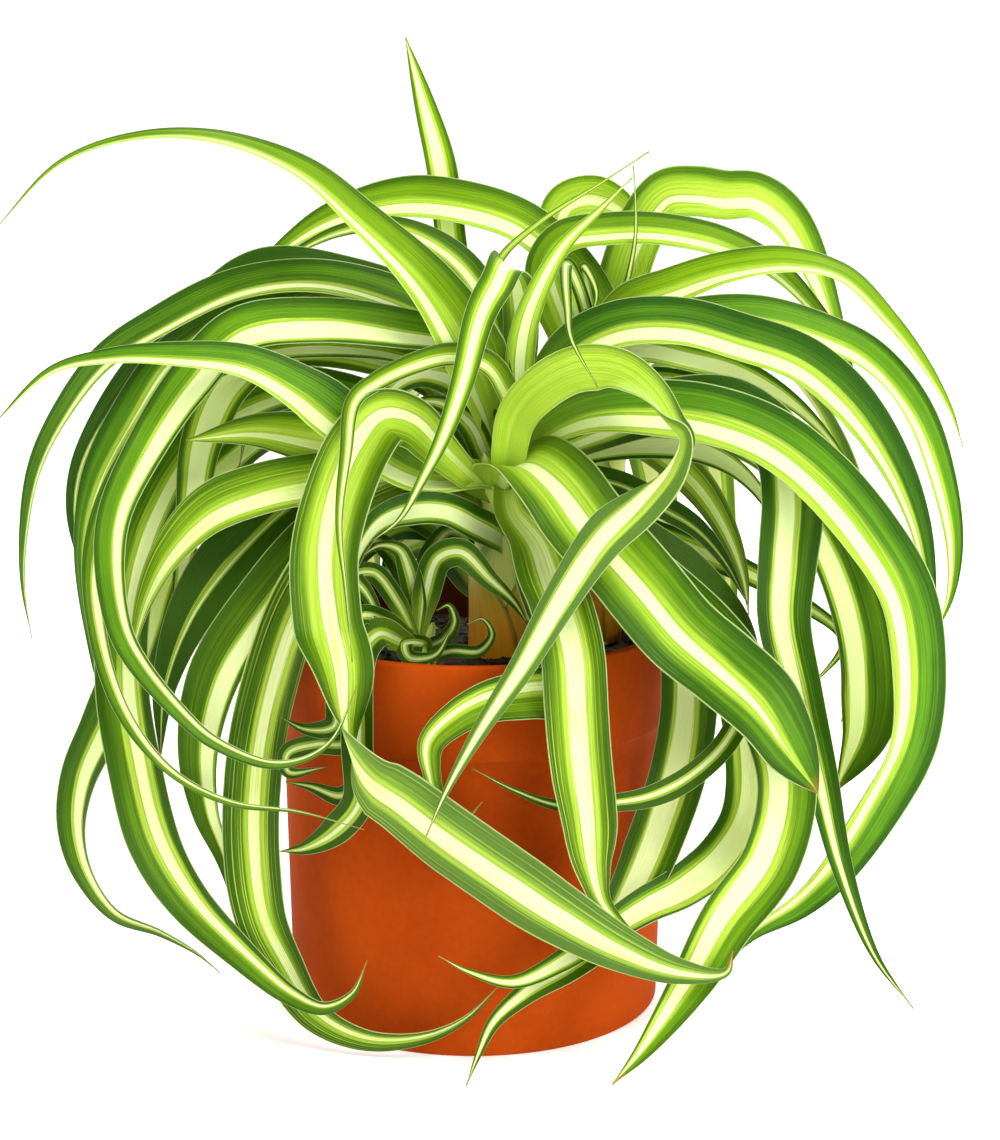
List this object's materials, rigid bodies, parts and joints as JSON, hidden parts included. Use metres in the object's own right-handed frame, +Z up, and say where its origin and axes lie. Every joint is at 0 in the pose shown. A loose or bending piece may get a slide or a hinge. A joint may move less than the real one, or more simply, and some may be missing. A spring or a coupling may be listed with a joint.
{
  "type": "potted spider plant",
  "caption": "Trailing variegated spider plant with long arching strap leaves and a curly plantlet in a plain round pot.",
  "frame": {"origin": "centre of the pot's foot, on the surface that it stands on", "axes": "+Z up; -Y is the side that faces the viewer in the picture; +X to the viewer's right"},
  "size_m": [0.3155, 0.1987, 0.3222],
  "materials": {
    "pot": "matte terracotta-coloured plastic",
    "soil": "dark crumbly potting soil; matte_plastic stands in for it, as the list has no soil",
    "crown": "pale green leaf bases, semi-matte; matte_plastic stands in for plant tissue",
    "leaf": "semi-gloss green leaf with a cream centre stripe; matte_plastic stands in for plant tissue"
  },
  "bodies": {
    "root": {"pot": "pot", "soil": "soil", "leaf.high.left": "leaf", "leaf.upright": "leaf", "leaf.back.arch": "leaf", "leaf.back.low": "leaf", "leaf.left.dark": "leaf", "leaf.left.outer": "leaf", "leaf.left.hook": "leaf", "leaf.left.hair": "leaf", "leaf.left.lime": "leaf", "leaf.left.far": "leaf", "leaf.kinked": "leaf", "leaf.twisted": "leaf", "leaf.folded": "leaf", "leaf.needle": "leaf", "leaf.young": "leaf", "leaf.right.wide": "leaf", "leaf.back.pale": "leaf", "leaf.right.cream": "leaf", "leaf.right.long": "leaf", "leaf.right.green": "leaf", "leaf.right.dark": "leaf", "leaf.right.under": "leaf", "leaf.inner.upper": "leaf", "leaf.inner.striped": "leaf", "leaf.inner.dark": "leaf", "leaf.inner.lower": "leaf", "leaf.right.great": "leaf", "leaf.right.hanging": "leaf", "leaf.front.broad": "leaf", "leaf.right.floor": "leaf", "leaf.front.diagonal": "leaf", "leaf.front.hanging": "leaf", "leaf.right.behind": "leaf", "leaf.right.pot": "leaf", "leaf.front.thin": "leaf", "leaf.right.sweep": "leaf", "leaf.front.rim": "leaf", "leaf.low.left": "leaf", "leaf.far.left": "leaf", "leaf.left.wall": "leaf", "leaf.left.drop": "leaf", "leaf.left.shade": "leaf", "leaf.left.pale": "leaf", "leaf.left.broad": "leaf", "leaf.left.pointed": "leaf", "leaf.inner.arch": "leaf", "leaf.rear.main.1": "leaf", "leaf.rear.main.2": "leaf", "leaf.rear.main.3": "leaf", "leaf.rear.main.4": "leaf", "leaf.rear.back.1": "leaf", "leaf.rear.back.2": "leaf", "leaf.rear.back.3": "leaf", "leaf.rear.back.4": "leaf", "crown.main": "crown", "crown.back": "crown", "crown.plantlet": "crown"}
  },
  "joints": []
}
